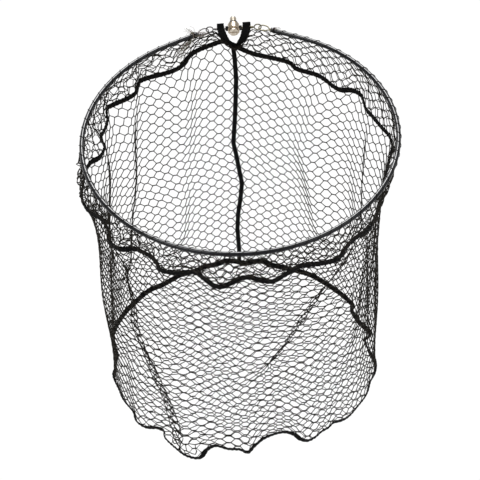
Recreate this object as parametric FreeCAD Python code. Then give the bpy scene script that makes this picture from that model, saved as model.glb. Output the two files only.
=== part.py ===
"""Round landing net head: a hoop with a deep mesh bag and a swinging handle fitting.

The origin is the centre of the hoop, on the middle line of its tube. +Z is up, and the
fitting is at the back, on +Y. Everything is in millimetres and degrees.
"""

import FreeCAD
import Part
import math
import os

Vector = FreeCAD.Vector

# Hoop
hoop_od = 600.0
tube_od = 9.0
tube_wall = 1.2
hoop_opening = 150.0
straight_end = 60.0

# Plugs in the hoop's two ends
plug_depth = 14.0
plug_flange = 3.0

# Wire bails held by the plugs
bail_wire = 2.4
bail_half_width = 7.0
bail_reach = 28.0
bail_leg_depth = 9.0
bail_leg_web = 0.6
bail_shoulder = 8.0

# Handle fitting
hub_od = 24.0
hub_length = 14.0
hub_flats = 22.4
arm_rod = 5.0
arm_thread = 3.6
arm_neck = 4.0
eye_wire = 2.4
eye_radius = 6.8
nut_flats = 9.0
nut_thickness = 4.6

# Screw that takes the handle
stud_diameter = 12.0
stud_head_diameter = 18.5
stud_head_thickness = 5.0
stud_slot_width = 2.2
stud_slot_depth = 1.6
stud_thread = 14.0
stud_chamfer = 1.0
relief_length = 1.5
relief_depth = 0.9
washer_diameter = 21.0
washer_thickness = 1.2
lock_nut_flats = 18.0
lock_nut_thickness = 5.0

# Bag
facets = 16
columns_per_facet = 3
collar_depth = 75.0
bag_depth = 620.0
collar_radius = 290.0
bottom_radius = 262.0
bag_lean = 22.0
net_thickness = 1.5
strand = 3.0
collar_rows = 2
body_rows = 13
bottom_pitch = 38.0
back_dip = 3.0
least_gap_share = 0.22

# Tapes and straps
tape_width = 10.0
tape_thickness = 2.4
collar_scallop = 9.0
bottom_scallop = 8.0
seam_tape_thickness = 1.6
strap_width = 14.0
strap_inner = 18.5
strap_thickness = 2.0
strap_loop_height = 9.0
strap_drop = 20.0
notch_depth = 60.0

# Lashing cord that ties the net to the hoop
cord_diameter = 1.2
cord_pitch = 24.0
cord_end_margin = 10.0

# Clearances
running = 0.05
plug_gap = 0.1
play = 0.1
link_play = 1.5
seat_gap = 0.3
seam_gap = 0.2
base_gap = 0.5

# Sizes that follow from the ones above
hoop_radius = (hoop_od - tube_od) / 2
tube_radius = tube_od / 2
tube_bore = tube_radius - tube_wall
end_reach = math.hypot(hoop_radius, straight_end)
end_angle = math.atan2(straight_end, hoop_radius) + math.asin(hoop_opening / 2 / end_reach)
end_y = hoop_radius * math.cos(end_angle) + straight_end * math.sin(end_angle)
tip_x = hoop_opening / 2 - bail_reach * math.cos(end_angle)
axis_y = end_y + bail_reach * math.sin(end_angle)
eye_x = tip_x - (eye_radius - eye_wire / 2 - bail_wire / 2 - link_play)
cord_radius = tube_radius + seat_gap + cord_diameter / 2
net_top = -(cord_radius + cord_diameter / 2 + seat_gap)
strap_top = -(arm_rod / 2 + seat_gap)
step = 2 * math.pi / facets
side_pull = math.tan(step / 2)
back_facet = 0
X = Vector(1, 0, 0)
Y = Vector(0, 1, 0)
Z = Vector(0, 0, 1)


def save(name, shape):
    """Writes one sub-part."""
    shape.exportStep(os.path.join("parts", name + ".step"))
    print(name, len(shape.Solids), "solids", round(shape.Volume, 1), "mm3", shape.isValid())


def side(shape, hand):
    """The right-hand piece itself, or its mirror image for the left."""
    return shape if hand > 0 else shape.mirror(Vector(0, 0, 0), X)


def hexagon_prism(flats, length, base, direction, turn=0.0):
    """A hexagonal prism along X or Y, with the given width across flats."""
    radius = flats / 2 / math.cos(math.pi / 6)
    across = Z
    other = direction.cross(across)
    points = []
    for k in range(7):
        angle = turn + k * math.pi / 3
        points.append(base + across * (radius * math.cos(angle)) + other * (radius * math.sin(angle)))
    return Part.Face(Part.makePolygon(points)).extrude(direction * length)


# Hoop and its ends


def end_frame():
    """The right-hand tube end, the way out of it, and the way across it."""
    end = Vector(hoop_opening / 2, end_y, 0)
    out = Vector(-math.cos(end_angle), math.sin(end_angle), 0)
    return end, out, Z.cross(out)


def tube_section(start):
    """The tube's round section, square to its middle line where the bend starts at an angle from +X."""
    centre = Vector(hoop_radius, 0, 0)
    section = Part.Face(Part.Wire(Part.makeCircle(tube_radius, centre, Y)))
    section = section.cut(Part.Face(Part.Wire(Part.makeCircle(tube_bore, centre, Y))))
    section.rotate(Vector(0, 0, 0), Z, math.degrees(start))
    return section


def hoop_tube():
    """The tube, bent to a ring that stays open at the back, with two straight ends."""
    start = math.pi / 2 + end_angle
    sweep = 2 * (math.pi - end_angle)
    _, out, _ = end_frame()
    bend = tube_section(start).revolve(Vector(0, 0, 0), Z, math.degrees(sweep))
    right = tube_section(math.pi - start).extrude(out * straight_end)
    left = tube_section(start).extrude(Vector(-out.x, out.y, 0) * straight_end)
    return bend.fuse([right, left]).removeSplitter()


def bail_leg_offset():
    """Half the distance between the two legs of a bail."""
    return (bail_wire + bail_leg_web) / 2


def end_plug():
    """The right-hand plug: an insert in the tube, a flange on its end and two holes."""
    end, out, across = end_frame()
    insert = Part.makeCylinder(tube_bore - plug_gap, plug_depth, end - out * plug_depth, out)
    flange = Part.makeCylinder(tube_radius, plug_flange, end, out)
    plug = insert.fuse(flange).removeSplitter()
    depth = bail_leg_depth + play
    for hand in (-1, 1):
        foot = end + across * (hand * bail_leg_offset()) - out * depth
        plug = plug.cut(Part.makeCylinder(bail_wire / 2 + running, depth + 2 * plug_flange, foot, out))
    return plug


def bail():
    """The right-hand bail: an oval of wire whose two legs run into the plug."""
    end, out, across = end_frame()
    near = bail_leg_offset()
    shift = bail_half_width - near
    radius = max(bail_shoulder, 0.6 * shift)
    turn = math.acos(1 - shift / 2 / radius)
    rise = 2 * radius * math.sin(turn)
    start = plug_flange + bail_wire / 2
    straight = bail_reach - bail_half_width

    def at(u, v):
        return end + out * u + across * v

    def half(hand):
        """One leg and its two shoulder arcs, from the plug to the round tip."""
        first = at(start + radius * math.sin(turn / 2), hand * (near + radius * (1 - math.cos(turn / 2))))
        middle = at(start + rise / 2, hand * (near + shift / 2))
        second = at(
            start + rise - radius * math.sin(turn / 2),
            hand * (bail_half_width - radius * (1 - math.cos(turn / 2))),
        )
        return [
            Part.LineSegment(at(-bail_leg_depth, hand * near), at(start, hand * near)),
            Part.Arc(at(start, hand * near), first, middle),
            Part.Arc(middle, second, at(start + rise, hand * bail_half_width)),
            Part.LineSegment(
                at(start + rise, hand * bail_half_width),
                at(straight, hand * bail_half_width),
            ),
        ]

    tip = Part.Arc(at(straight, bail_half_width), at(bail_reach, 0), at(straight, -bail_half_width))
    edges = [edge.toShape() for edge in half(1) + [tip]]
    edges += [edge.toShape() for edge in reversed(half(-1))]
    path = Part.Wire(edges)
    profile = Part.Wire(Part.makeCircle(bail_wire / 2, at(-bail_leg_depth, near), out))
    return path.makePipeShell([profile], True, False)


# Handle fitting


def fitting_hub():
    """The round block in the middle, bored for the stud and drilled for the two arms."""
    base = Vector(0, axis_y - hub_length / 2, 0)
    hub = Part.makeCylinder(hub_od / 2, hub_length, base, Y)
    for hand in (-1, 1):
        corner = Vector(hub_flats / 2 if hand > 0 else -hub_flats / 2 - hub_od, base.y, -hub_od)
        hub = hub.cut(Part.makeBox(hub_od, hub_length, 2 * hub_od, corner))
        foot = Vector(hand * (hub_flats / 2 - arm_thread - play), axis_y, 0)
        hub = hub.cut(Part.makeCylinder(arm_rod / 2 + running, hub_od, foot, X * hand))
    return hub.cut(Part.makeCylinder(stud_diameter / 2 + running, hub_length, base, Y))


def arm_eye():
    """The right-hand arm: a rod screwed into the hub that ends in a round eye."""
    start = hub_flats / 2 - arm_thread
    neck = eye_x - eye_radius - arm_neck
    rod = Part.makeCylinder(arm_rod / 2, neck - start, Vector(start, axis_y, 0), X)
    cone = Part.makeCone(arm_rod / 2, eye_wire / 2, arm_neck, Vector(neck, axis_y, 0), X)
    ring = Part.makeTorus(eye_radius, eye_wire / 2, Vector(eye_x, axis_y, 0), Y)
    return rod.fuse([cone, ring]).removeSplitter()


def arm_nut():
    """The right-hand lock nut, between the hub's flat and the strap."""
    base = Vector(hub_flats / 2, axis_y, 0)
    nut = hexagon_prism(nut_flats, nut_thickness, base, X)
    return nut.cut(Part.makeCylinder(arm_rod / 2 + running, nut_thickness, base, X))


def stud_stack():
    """Where the stud's pieces start along Y: head, hub front, washer, lock nut, relief, thread, end."""
    front = axis_y - hub_length / 2 - play
    back = axis_y + hub_length / 2 + play
    nut = back + washer_thickness
    relief = nut + lock_nut_thickness
    thread = relief + relief_length
    return front - stud_head_thickness, front, back, nut, relief, thread, thread + stud_thread


def handle_stud():
    """The screw through the hub: a slotted head inside the hoop and a thread outside it."""
    head, front, _, _, relief, thread, end = stud_stack()
    radius = stud_diameter / 2
    stud = Part.makeCylinder(stud_head_diameter / 2, front - head, Vector(0, head, 0), Y)
    pieces = [
        Part.makeCylinder(radius, relief - front, Vector(0, front, 0), Y),
        Part.makeCylinder(radius - relief_depth, thread - relief, Vector(0, relief, 0), Y),
        Part.makeCylinder(radius, end - thread, Vector(0, thread, 0), Y),
        Part.makeCone(radius, radius - stud_chamfer, stud_chamfer, Vector(0, end, 0), Y),
    ]
    stud = stud.fuse(pieces)
    corner = Vector(-stud_head_diameter, head - stud_slot_depth, -stud_slot_width / 2)
    slot = Part.makeBox(2 * stud_head_diameter, 2 * stud_slot_depth, stud_slot_width, corner)
    return stud.cut(slot)


def stud_washer():
    """The plain washer between the hub and the lock nut."""
    _, _, back, nut, _, _, _ = stud_stack()
    base = Vector(0, back, 0)
    washer = Part.makeCylinder(washer_diameter / 2, nut - back, base, Y)
    return washer.cut(Part.makeCylinder(stud_diameter / 2 + running, nut - back, base, Y))


def stud_nut():
    """The thin nut that keeps the stud in the hub."""
    _, _, _, nut, _, _, _ = stud_stack()
    base = Vector(0, nut, 0)
    shape = hexagon_prism(lock_nut_flats, lock_nut_thickness, base, Y, math.pi / 6)
    return shape.cut(Part.makeCylinder(stud_diameter / 2 + running, lock_nut_thickness, base, Y))


# Bag: its sides are flat stretches of netting between creases, numbered from the back


def middle_at(z):
    """The x of the bag's middle at a height, since the bag hangs a little to one side."""
    return bag_lean * z / bag_depth


class Panel:
    """One flat stretch between two creases, given by two heights with the bag's radius there."""

    def __init__(self, facet, heights, radii):
        self.facet = facet
        self.heights = heights
        self.radii = radii

    def radius(self, z):
        """The bag's radius at a height, out to the creases."""
        (z_high, z_low), (r_high, r_low) = self.heights, self.radii
        return r_high + (r_low - r_high) * (z_high - z) / (z_high - z_low)

    def width(self, z):
        """The panel's width at a height."""
        return 2 * self.radius(z) * math.sin(step / 2)

    def crease(self, side_of, z):
        """The point of one of the two creases at a height, on the outer face."""
        angle = math.pi / 2 + (self.facet + side_of - 0.5) * step
        radius = self.radius(z)
        return Vector(middle_at(z) + radius * math.cos(angle), radius * math.sin(angle), z)

    def at(self, share, z):
        """The point of the outer face at a share of the width and a height."""
        first = self.crease(0, z)
        return first + (self.crease(1, z) - first) * share

    def share(self, x, z):
        """For the back panel only: the share of the width at an x."""
        return 0.5 - (x - middle_at(z)) / self.width(z)

    def inward(self):
        """The unit vector square to the panel, towards the inside of the bag."""
        z_high, z_low = self.heights
        across = self.crease(1, z_high) - self.crease(0, z_high)
        down = self.crease(0, z_low) - self.crease(0, z_high)
        normal = across.cross(down)
        normal.normalize()
        middle = self.at(0.5, z_high)
        return normal if normal.dot(Vector(-middle.x, -middle.y, 0)) > 0 else normal * -1


def collar_panel(facet):
    """The panel between the hoop and the collar tape."""
    return Panel(facet, (strap_top, -collar_depth), (hoop_radius, collar_radius))


def side_panel(facet):
    """The panel between the collar tape and the bottom."""
    return Panel(facet, (-collar_depth, -bag_depth), (collar_radius, bottom_radius))


def strap_panel():
    """The panel that a mouth strap's leg lies in, leaning back from the collar tape up to the arm."""
    back = axis_y + strap_top - (strap_thickness - net_thickness) / 2
    return Panel(back_facet, (strap_top, -collar_depth), (back / math.cos(step / 2), collar_radius))


def clip(points, inside, cross):
    """The part of a convex outline on one side of a limit."""
    kept = []
    for k, point in enumerate(points):
        before = points[k - 1]
        if inside(point) != inside(before):
            kept.append(cross(before, point))
        if inside(point):
            kept.append(point)
    return kept


def clip_line(points, a, b, c):
    """The part of a convex outline where a * x + b * y is at most c."""

    def far(p):
        return a * p[0] + b * p[1] - c

    def cross(p, q):
        share = far(p) / (far(p) - far(q))
        return (p[0] + (q[0] - p[0]) * share, p[1] + (q[1] - p[1]) * share)

    return clip(points, lambda p: far(p) <= 0, cross)


def area(points):
    """The area of an outline of points in a plane."""
    total = 0.0
    for k, (x, y) in enumerate(points):
        total += points[k - 1][0] * y - x * points[k - 1][1]
    return abs(total) / 2


def mesh_gap(column, z, tall, width):
    """One six-sided gap of the net, in columns across and millimetres up, less its strands."""
    reach = 2.0 / 3.0
    less_across = 1 - strand / (2 * reach * width * math.cos(math.pi / 6))
    less_up = 1 - strand / tall
    points = []
    for across, up in ((1, 0), (0.5, 0.5), (-0.5, 0.5), (-1, 0), (-0.5, -0.5), (0.5, -0.5)):
        points.append((column + reach * less_across * across, z + tall * less_up * up))
    return points


def net_gaps(panel, z_high, z_low, rows, limits=()):
    """The gaps of one panel between two heights, as outlines of share and height."""
    tall = (z_high - z_low) / rows
    width = panel.width((z_high + z_low) / 2) / columns_per_facet
    edge = (net_thickness * side_pull + strand / 2) / width
    whole = area(mesh_gap(0.0, 0.0, tall, width))
    found = []
    for k in range(columns_per_facet):
        odd = (panel.facet * columns_per_facet + k) % 2
        first = 0.0 if odd else 0.5
        for row in range(rows + odd):
            gap = mesh_gap(k + 0.5, z_high - (row + first) * tall, tall, width)
            gap = clip_line(gap, 1, 0, columns_per_facet - edge)
            gap = clip_line(gap, -1, 0, -edge)
            gap = clip_line(gap, 0, 1, z_high - strand)
            gap = clip_line(gap, 0, -1, -(z_low + strand))
            for a, b, c in limits:
                gap = clip_line(gap, a, b, c)
            if len(gap) > 2 and area(gap) > least_gap_share * whole:
                found.append([(u / columns_per_facet, z) for u, z in gap])
    return found


def scalloped(panel, high, high_dip, low, low_dip, pull):
    """A panel's outline between two heights, each dipping in an arc from crease to crease."""

    def edge(z, dip, shares):
        """The upper or lower edge, as an arc where it dips."""
        inset = pull / panel.width(z)
        points = []
        for share in shares:
            inside = min(max(share, inset), 1 - inset)
            points.append(panel.at(inside, z - dip * 4 * share * (1 - share)))
        return Part.Arc(*points).toShape() if dip else Part.makeLine(points[0], points[2])

    top = edge(high, high_dip, (0.0, 0.5, 1.0))
    bottom = edge(low, low_dip, (1.0, 0.5, 0.0))
    sides = []
    for start, end in ((top, bottom), (bottom, top)):
        sides.append(Part.makeLine(start.lastVertex().Point, end.firstVertex().Point))
    return Part.Wire([top, sides[0], bottom, sides[1]])


def flat_face(wires):
    """One flat face from an outline and the outlines of its holes."""
    return Part.makeFace(wires, "Part::FaceMakerBullseye")


def holed(panel, outline, gaps, thickness, offset=0.0):
    """A flat outline with gaps, as a solid that lies offset inside the panel's outer face."""
    wires = [outline]
    for gap in gaps:
        points = [panel.at(share, z) for share, z in gap]
        wires.append(Part.makePolygon(points + points[:1]))
    normal = panel.inward()
    face = flat_face(wires)
    face.translate(normal * offset)
    return face.extrude(normal * thickness)


def notch_edge(z):
    """The mouth strap's outer edge at a height, as its distance from the middle."""
    outer = strap_inner + strap_width
    foot = strap_width * 0.8
    drop = max(0.0, -z - strap_drop) / (collar_depth - tape_width / 2 - strap_drop)
    return outer + (foot - outer) * min(1.0, drop)


def collar_hem(panel, x):
    """For the back panel only: the height of the collar net's lower edge at an x."""
    low = -collar_depth + tape_width / 2 + seam_gap
    share = panel.share(x, low)
    return low - collar_scallop * 4 * share * (1 - share)


def collar_half(hand):
    """The netting on one side of the notch at the back."""
    panel = collar_panel(back_facet)
    high = net_top - back_dip
    low = -collar_depth + tape_width / 2 + seam_gap
    inset = net_thickness * side_pull / panel.width(low)
    far = inset if hand > 0 else 1 - inset

    def hem(share):
        """The lower edge's height at a share of the width."""
        return low - collar_scallop * 4 * share * (1 - share)

    def beside(z):
        """The share where the strap's outer edge is, at a height."""
        return panel.share(hand * (notch_edge(z) + seam_gap), z)

    near = beside(low - collar_scallop)
    top = panel.at(beside(high), high)
    bend = panel.at(beside(-strap_drop), -strap_drop)
    foot = panel.at(near, hem(near))
    hem_middle = panel.at((near + far) / 2, hem((near + far) / 2))
    hem_end = panel.at(far, hem(far))
    corner = panel.at(far, high)
    edges = [
        Part.makeLine(corner, top),
        Part.makeLine(top, bend),
        Part.makeLine(bend, foot),
        Part.Arc(foot, hem_middle, hem_end).toShape(),
        Part.makeLine(hem_end, corner),
    ]
    margin = strand / panel.width(low)
    limits = []
    for z_start, z_end in ((high, -strap_drop), (-strap_drop, hem(near))):
        slope = (beside(z_end) - beside(z_start)) / (z_end - z_start)
        reach = (beside(z_start) - slope * z_start) * hand - margin
        limits.append((hand, -hand * slope * columns_per_facet, reach * columns_per_facet))
    gaps = net_gaps(panel, high, low - collar_scallop / 2, collar_rows, limits)
    return holed(panel, Part.Wire(edges), gaps, net_thickness)


def collar_net():
    """The band of netting from the hoop down to the collar tape."""
    low = -collar_depth + tape_width / 2 + seam_gap
    solids = [collar_half(-1), collar_half(1)]
    for facet in range(1, facets):
        panel = collar_panel(facet)
        outline = scalloped(panel, net_top, 0.0, low, collar_scallop, net_thickness * side_pull)
        solids.append(holed(panel, outline, net_gaps(panel, net_top, low, collar_rows), net_thickness))
    return Part.makeCompound(solids)


def body_net():
    """The bag's side from the collar tape to the bottom."""
    high = -collar_depth - tape_width / 2 - seam_gap
    low = -bag_depth - tape_width * 0.4
    solids = []
    for facet in range(facets):
        panel = side_panel(facet)
        outline = scalloped(panel, high, collar_scallop, low, -bottom_scallop, net_thickness * side_pull)
        gaps = net_gaps(panel, high - collar_scallop, low + bottom_scallop, body_rows)
        solids.append(holed(panel, outline, gaps, net_thickness))
    return Part.makeCompound(solids)


def tape_ring(panel_of, middle, dip, offset, thickness):
    """A tape that runs round the bag at one height, scalloped between the creases."""
    solids = []
    for facet in range(facets):
        panel = panel_of(facet)
        pull = max(0.0, offset + thickness) * side_pull
        high, low = middle + tape_width / 2, middle - tape_width / 2
        solids.append(holed(panel, scalloped(panel, high, dip, low, dip, pull), [], thickness, offset))
    return Part.makeCompound(solids)


def collar_tape():
    """The tape that binds the collar to the bag's side."""
    offset = (net_thickness - tape_thickness) / 2
    return tape_ring(collar_panel, -collar_depth, collar_scallop, offset, tape_thickness)


def bottom_tape():
    """The tape round the bottom panel, just inside the bag's side."""
    return tape_ring(side_panel, -bag_depth, -bottom_scallop, net_thickness + base_gap, tape_thickness)


def bottom_net():
    """The flat bottom panel: one face with six-sided gaps."""
    z = -bag_depth + bottom_scallop / 2
    middle = middle_at(z)
    radius = side_panel(back_facet).radius(z)
    lost = net_thickness + base_gap + tape_thickness + seam_gap
    apothem = radius * math.cos(step / 2) - lost
    radius = apothem / math.cos(step / 2)
    rim = []
    for k in range(facets + 1):
        angle = math.pi / 2 + (k - 0.5) * step
        rim.append(Vector(middle + radius * math.cos(angle), radius * math.sin(angle), z))
    wires = [Part.makePolygon(rim)]
    tall = bottom_pitch * 2 / math.sqrt(3)
    whole = area(mesh_gap(0.0, 0.0, tall, bottom_pitch)) * bottom_pitch
    columns = int(radius / bottom_pitch) + 1
    rows = int(radius / tall) + 1
    for column in range(-columns, columns + 1):
        for row in range(-rows, rows + 1):
            shift = 0.5 if column % 2 else 0.0
            gap = mesh_gap(float(column), (row + shift) * tall, tall, bottom_pitch)
            gap = [(u * bottom_pitch, v) for u, v in gap]
            for k in range(facets):
                angle = math.pi / 2 + k * step
                gap = clip_line(gap, math.cos(angle), math.sin(angle), apothem - strand)
                if len(gap) < 3:
                    break
            if len(gap) > 2 and area(gap) > least_gap_share * whole:
                points = [Vector(middle + u, v, z) for u, v in gap]
                wires.append(Part.makePolygon(points + points[:1]))
    print("bottom_net gaps", len(wires) - 1)
    face = flat_face(wires)
    face.translate(Z * (-net_thickness / 2))
    return face.extrude(Z * net_thickness)


def rear_tape():
    """The tape over the bag's one upright seam, on the outside of the back panel."""
    panel = side_panel(back_facet)
    high = -collar_depth - tape_width / 2 - collar_scallop - seam_gap
    low = -bag_depth
    half = tape_width / 2
    corners = []
    for hand, z in ((-1, high), (1, high), (1, low), (-1, low), (-1, high)):
        corners.append(panel.at(0.5 + hand * half / panel.width(z), z))
    offset = -(seam_tape_thickness + seam_gap)
    return holed(panel, Part.makePolygon(corners), [], seam_tape_thickness, offset)


def mouth_strap():
    """The right-hand strap: a loose loop over the arm, and a leg that curves in to the collar tape."""
    panel = strap_panel()
    inner = -strap_top
    outer = inner + strap_thickness

    def racetrack(radius):
        """The loop's outline at a distance from the arm's middle line."""
        low = Vector(strap_inner, axis_y, 0)
        high = Vector(strap_inner, axis_y, strap_loop_height)
        sides = Y * radius
        edges = [
            Part.makeLine(low - sides, high - sides),
            Part.Arc(high - sides, high + Z * radius, high + sides).toShape(),
            Part.makeLine(high + sides, low + sides),
            Part.Arc(low + sides, low - Z * radius, low - sides).toShape(),
        ]
        return Part.Wire(edges)

    loop = flat_face([racetrack(outer), racetrack(inner)]).extrude(X * strap_width)

    def at(x, z):
        return panel.at(panel.share(x, z), z)

    high = strap_top
    low = max(collar_hem(panel, notch_edge(-collar_depth)), collar_hem(panel, -notch_edge(-collar_depth)))
    inner_end = at(seam_gap / 2, -notch_depth)
    inner_bend = at(strap_inner * 0.72, -(strap_drop + notch_depth) / 2 - strap_thickness)
    inner_start = at(strap_inner, -strap_drop)
    edges = [
        Part.makeLine(at(strap_inner, high), at(strap_inner + strap_width, high)),
        Part.makeLine(at(strap_inner + strap_width, high), at(strap_inner + strap_width, -strap_drop)),
        Part.makeLine(at(strap_inner + strap_width, -strap_drop), at(notch_edge(low), low)),
        Part.makeLine(at(notch_edge(low), low), at(seam_gap / 2, low)),
        Part.makeLine(at(seam_gap / 2, low), inner_end),
        Part.Arc(inner_end, inner_bend, inner_start).toShape(),
        Part.makeLine(inner_start, at(strap_inner, high)),
    ]
    offset = (net_thickness - strap_thickness) / 2
    leg = holed(panel, Part.Wire(edges), [], strap_thickness, offset)
    return loop.fuse(leg).removeSplitter()


# Lashing cord


def arc_from(start, tangent, end):
    """The arc from a point, leaving along a tangent, to another point."""
    chord = end - start
    length = chord.Length
    along = chord * (1 / length)
    cosine = tangent.dot(along)
    sideways = tangent - along * cosine
    sine = sideways.Length
    middle = start + chord * 0.5 + sideways * (length / 2 * math.tan(math.atan2(sine, cosine) / 2) / sine)
    return Part.Arc(start, middle, end).toShape()


def biarc(start, tangent, end, end_tangent):
    """Two arcs that leave and arrive along the given tangents."""
    span = end - start
    both = tangent + end_tangent
    turn = 2 * (1 - tangent.dot(end_tangent))
    reach = (math.sqrt(span.dot(both) ** 2 + turn * span.dot(span)) - span.dot(both)) / turn
    first = start + tangent * reach
    second = end - end_tangent * reach
    joint = (first + second) * 0.5
    way = second - first
    way.normalize()
    return [arc_from(start, tangent, joint), arc_from(joint, way, end)]


def lashing_cord():
    """One cord wound round the tube from end to end, in even turns, made of quarter-turn biarcs."""
    margin = cord_end_margin / hoop_radius
    first = math.pi / 2 + end_angle + margin
    sweep = 2 * math.pi - 2 * end_angle - 2 * margin
    turns = round(sweep * hoop_radius / cord_pitch)
    quarters = 4 * turns

    def place(k):
        """The point and the direction of the cord after k quarter turns."""
        along = first + sweep * k / quarters
        wind = math.pi / 2 * k
        out = Vector(math.cos(along), math.sin(along), 0)
        ahead = Vector(-math.sin(along), math.cos(along), 0)
        point = out * (hoop_radius + cord_radius * math.cos(wind)) + Z * (cord_radius * math.sin(wind))
        rate = sweep / (math.pi / 2 * quarters)
        way = ahead * (rate * (hoop_radius + cord_radius * math.cos(wind)))
        way = way + out * (-cord_radius * math.sin(wind)) + Z * (cord_radius * math.cos(wind))
        way.normalize()
        return point, way

    edges = []
    radii = []
    for k in range(quarters):
        edges += biarc(*place(k), *place(k + 1))
    for edge in edges:
        radii.append(edge.Curve.Radius)
    path = Part.Wire(edges)
    point, way = place(0)
    profile = Part.Wire(Part.makeCircle(cord_diameter / 2, point, way))
    cord = path.makePipeShell([profile], True, False)
    turn_gap = sweep * hoop_radius / turns - cord_diameter
    expected = path.Length * math.pi * cord_diameter**2 / 4
    print("lashing_cord turns", turns, "least radius", round(min(radii), 2), "gap", round(turn_gap, 1))
    print("lashing_cord volume", round(cord.Volume, 1), "of", round(expected, 1))
    print("lashing_cord length", round(path.Length, 1))
    return cord


def main():
    """Builds and writes every sub-part."""
    os.makedirs("parts", exist_ok=True)
    save("hoop_tube", hoop_tube())
    for hand, name in ((-1, "left"), (1, "right")):
        save("end_plug_" + name, side(end_plug(), hand))
        save("bail_" + name, side(bail(), hand))
        save("arm_eye_" + name, side(arm_eye(), hand))
        save("arm_nut_" + name, side(arm_nut(), hand))
        save("mouth_strap_" + name, side(mouth_strap(), hand))
    save("fitting_hub", fitting_hub())
    save("handle_stud", handle_stud())
    save("stud_washer", stud_washer())
    save("stud_nut", stud_nut())
    save("collar_net", collar_net())
    save("collar_tape", collar_tape())
    save("body_net", body_net())
    save("rear_tape", rear_tape())
    save("bottom_net", bottom_net())
    save("bottom_tape", bottom_tape())
    save("lashing_cord", lashing_cord())


main()
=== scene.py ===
import math

import bpy
import numpy as np
from bpy.props import FloatProperty, FloatVectorProperty, IntProperty, PointerProperty
from mathutils import Matrix, Vector


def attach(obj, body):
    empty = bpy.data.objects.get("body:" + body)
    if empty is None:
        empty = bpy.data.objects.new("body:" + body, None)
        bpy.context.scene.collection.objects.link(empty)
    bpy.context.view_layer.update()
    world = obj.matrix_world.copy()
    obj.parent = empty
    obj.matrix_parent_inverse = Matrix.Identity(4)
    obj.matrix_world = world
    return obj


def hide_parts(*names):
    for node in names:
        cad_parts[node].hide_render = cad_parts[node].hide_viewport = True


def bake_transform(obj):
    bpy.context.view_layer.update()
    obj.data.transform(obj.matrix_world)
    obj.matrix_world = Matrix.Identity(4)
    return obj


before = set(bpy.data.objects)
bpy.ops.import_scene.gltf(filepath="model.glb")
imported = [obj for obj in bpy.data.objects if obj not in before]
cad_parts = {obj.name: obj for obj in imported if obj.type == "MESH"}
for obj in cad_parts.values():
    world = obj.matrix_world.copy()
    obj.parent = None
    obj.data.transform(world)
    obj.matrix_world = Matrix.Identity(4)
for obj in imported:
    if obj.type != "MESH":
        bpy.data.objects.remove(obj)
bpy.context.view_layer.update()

bl_info = {
    "name": "Round landing net head",
    "version": (1, 0, 0),
    "blender": (4, 5, 0),
    "location": "3D Viewport > Sidebar > Landing Net",
    "description": "Hoop, mesh bag, binding tapes and handle fitting of a round landing net",
    "category": "Object",
}

TURN = 2 * math.pi
UP = np.array([0.0, 0.0, 1.0])

# The object, in metres and radians
HOOP_RADIUS = 0.2955
BEND_END = math.radians(25.88)
STRAIGHT_END = 0.060
END_X, END_Y = 0.075, 0.29205
ARM_Y, ARM_TIP = 0.30428, 0.0498
THREAD_START, THREAD_END = 0.3191, 0.3331
THREAD_RADIUS, THREAD_DEPTH, THREAD_PITCH = 0.00595, 0.00038, 0.0015
COLLAR_RADIUS, COLLAR_HEIGHT = 0.290, -0.078
COLLAR_TOP = -0.006
WALL_RADIUS, CREASE_RADIUS = 0.277, 0.27
BOTTOM_RADIUS, BOTTOM_HEIGHT = 0.262, -0.615
LEAN = 0.022 / 0.620
BOTTOM_MIDDLE = np.array([LEAN * BOTTOM_HEIGHT, 0.0])
SEAM_WIDTH, SEAM_THICKNESS = 0.0090, 0.0022
STITCH_SIDE, STITCH_RADIUS = -0.225, 0.00034
STRAP_THICKNESS = 0.0017
LOOP_DEPTH, LOOP_TOP_DEPTH, LOOP_TOP = 0.0038, 0.0018, 0.0122
CORD_REACH, PLY_REACH, PLY_RADIUS = 0.0052, 0.0003, 0.0004
PLY_TWISTS, STEPS_A_TURN = 9, 26
WRAP_TURNS, WRAP_REACH, WRAP_RADIUS = 4, 0.0051, 0.00045
BOTTOM_JOINT, BOTTOM_TWINE = 0.00125, np.array([0.00078, 0.00062, 0.00062, 0.00078])
JOINT_SHARE = 0.23
MESH_X, MESH_Y = 0.0172, 0.0215
RAIL_POINTS = 1500
SURFACE_POINTS = 1800
BELL_PEAK = 2.33
FLARE = math.radians(21)
LOWEST = -0.638
FLOOR = -0.648

# The camera: a lens for a square picture of 480 pixels
FRAME_PIXELS = 480
FOCAL_PIXELS = 2411.6
SENSOR = 36.0
CAMERA_DISTANCE = 4.5
CAMERA_ELEVATION = math.radians(44.53)
CAMERA_ROLL = math.radians(-3.41)
CAMERA_TARGET = np.array([-0.0111, 0.0, -0.2795])

# Points of the picture that the tapes run through, in pixels
COLLAR_REAR_LEFT = [
    (238, 47.5), (224.5, 41.5), (212.5, 44.5), (197.5, 50.5), (188.5, 57), (184, 64), (175, 70), (163, 74),
    (151, 77), (140.5, 81), (137.5, 86.5), (136, 92.5), (128.5, 98), (115, 104), (107, 109), (107.5, 121),
    (104.5, 130), (101, 137.5), (104.5, 146.5), (100, 157), (88, 166),
]
COLLAR_FRONT = [
    (81.7, 194.6), (85, 206.6), (91, 212.6), (99.7, 217.7), (105.7, 223), (107.9, 230.5), (107.9, 239),
    (111.7, 244.3), (118.6, 248.6), (125.4, 249.4), (134, 248.6), (142.6, 252), (151, 257), (156.3, 262.3),
    (159.7, 269), (165.5, 271.5), (180, 272.5), (195, 272.5), (204, 278.5), (213, 285), (220.5, 286.8),
    (229.5, 283.8), (240, 278.5), (250, 277.5), (260, 280), (272, 281.5), (281, 277), (290, 271.8),
    (297.5, 267), (308, 265), (320, 263.5), (332, 261), (339.5, 258), (346, 248), (353, 240), (363, 233),
    (370, 228), (373, 221), (375.5, 215), (379, 203),
]
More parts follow.
